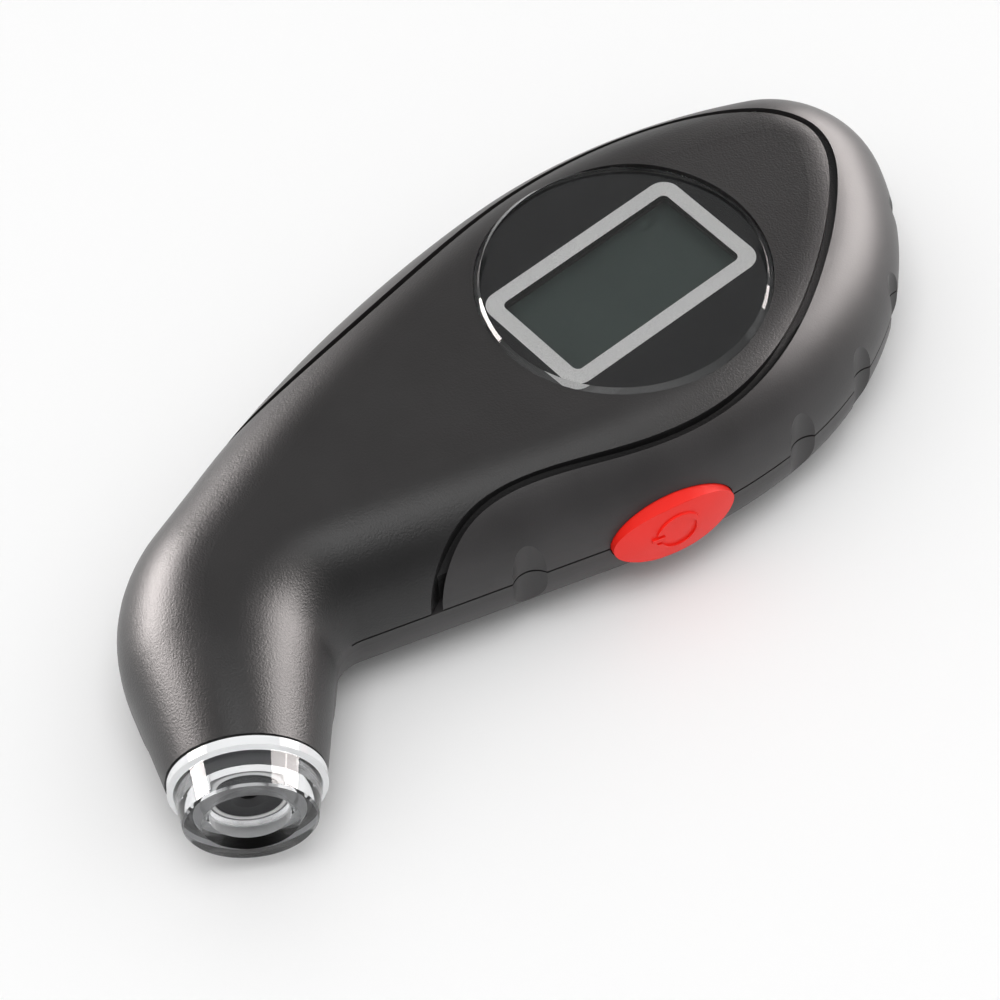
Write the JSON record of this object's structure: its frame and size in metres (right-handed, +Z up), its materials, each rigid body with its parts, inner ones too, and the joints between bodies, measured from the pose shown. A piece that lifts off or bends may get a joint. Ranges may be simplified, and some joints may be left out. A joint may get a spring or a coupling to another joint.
{
  "type": "digital tyre pressure gauge",
  "caption": "Hand-held digital tyre pressure gauge: round display window on a rounded head, bent neck, clear nozzle for the tyre valve and a side push button.",
  "frame": {"origin": "on the flat belly that the gauge rests on, straight below the centre of the round window", "axes": "+Z up out of the display, +X toward the rounded nose of the head, the neck runs toward -X and its nozzle turns toward -Y"},
  "size_m": [0.1212, 0.0518, 0.0214],
  "materials": {
    "saddle_plastic": "moulded with a coarse matt grain",
    "band_plastic": "satin, slightly warm dark grey",
    "body_plastic": "satin, slightly warm dark grey",
    "door_plastic": "satin",
    "clear_window": "polished clear plastic",
    "printed_foil": "printed behind the window",
    "display_glass": "unlit liquid-crystal cell",
    "holder_plastic": "plain",
    "connector_rubber": "plain",
    "board_laminate": "green solder mask",
    "chip_resin": "epoxy drop",
    "sensor_case": "plain",
    "hose_silicone": "translucent silicone",
    "cell_steel": "bright",
    "contact_metal": "plated spring strip",
    "screw_steel": "zinc plated",
    "button_plastic": "semi-gloss orange red",
    "switch_plastic": "plain",
    "plunger_plastic": "plain",
    "tip_plastic": "polished clear plastic",
    "seat_plastic": "white",
    "seal_rubber": "dark rubber",
    "pin_brass": "turned",
    "lamp_resin": "clear lamp body"
  },
  "bodies": {
    "case": {"upper_shell": "saddle_plastic", "grip_band": "band_plastic", "lower_shell": "body_plastic", "battery_door": "door_plastic", "lens": "clear_window", "dial_mask": "printed_foil", "lcd_glass": "display_glass", "lcd_holder": "holder_plastic", "zebra_strips": "connector_rubber", "circuit_board": "board_laminate", "chip_blob": "chip_resin", "pressure_sensor": "sensor_case", "air_hose": "hose_silicone", "coin_cell": "cell_steel", "negative_contact": "contact_metal", "positive_contact": "contact_metal", "case_screws": "screw_steel", "board_screws": "screw_steel", "door_screw": "screw_steel", "switch_body": "switch_plastic", "nozzle_tip": "tip_plastic", "seal_seat": "seat_plastic", "valve_seal": "seal_rubber", "valve_pin": "pin_brass", "nozzle_lamp": "lamp_resin"},
    "button": {"power_button": "button_plastic"},
    "plunger": {"switch_plunger": "plunger_plastic"}
  },
  "joints": [
    {"name": "button_press", "type": "slide", "parent": "case", "child": "button", "axis": [0.2198, 0.9755, 0], "range_m": [0, 0.0004], "stiffness_N_per_m": 500},
    {"name": "plunger_press", "type": "slide", "parent": "case", "child": "plunger", "axis": [0.2198, 0.9755, 0], "range_m": [0, 0.0004]}
  ],
  "couplings": [
    {"joint": "plunger_press", "follows": "button_press", "ratio": 1}
  ]
}
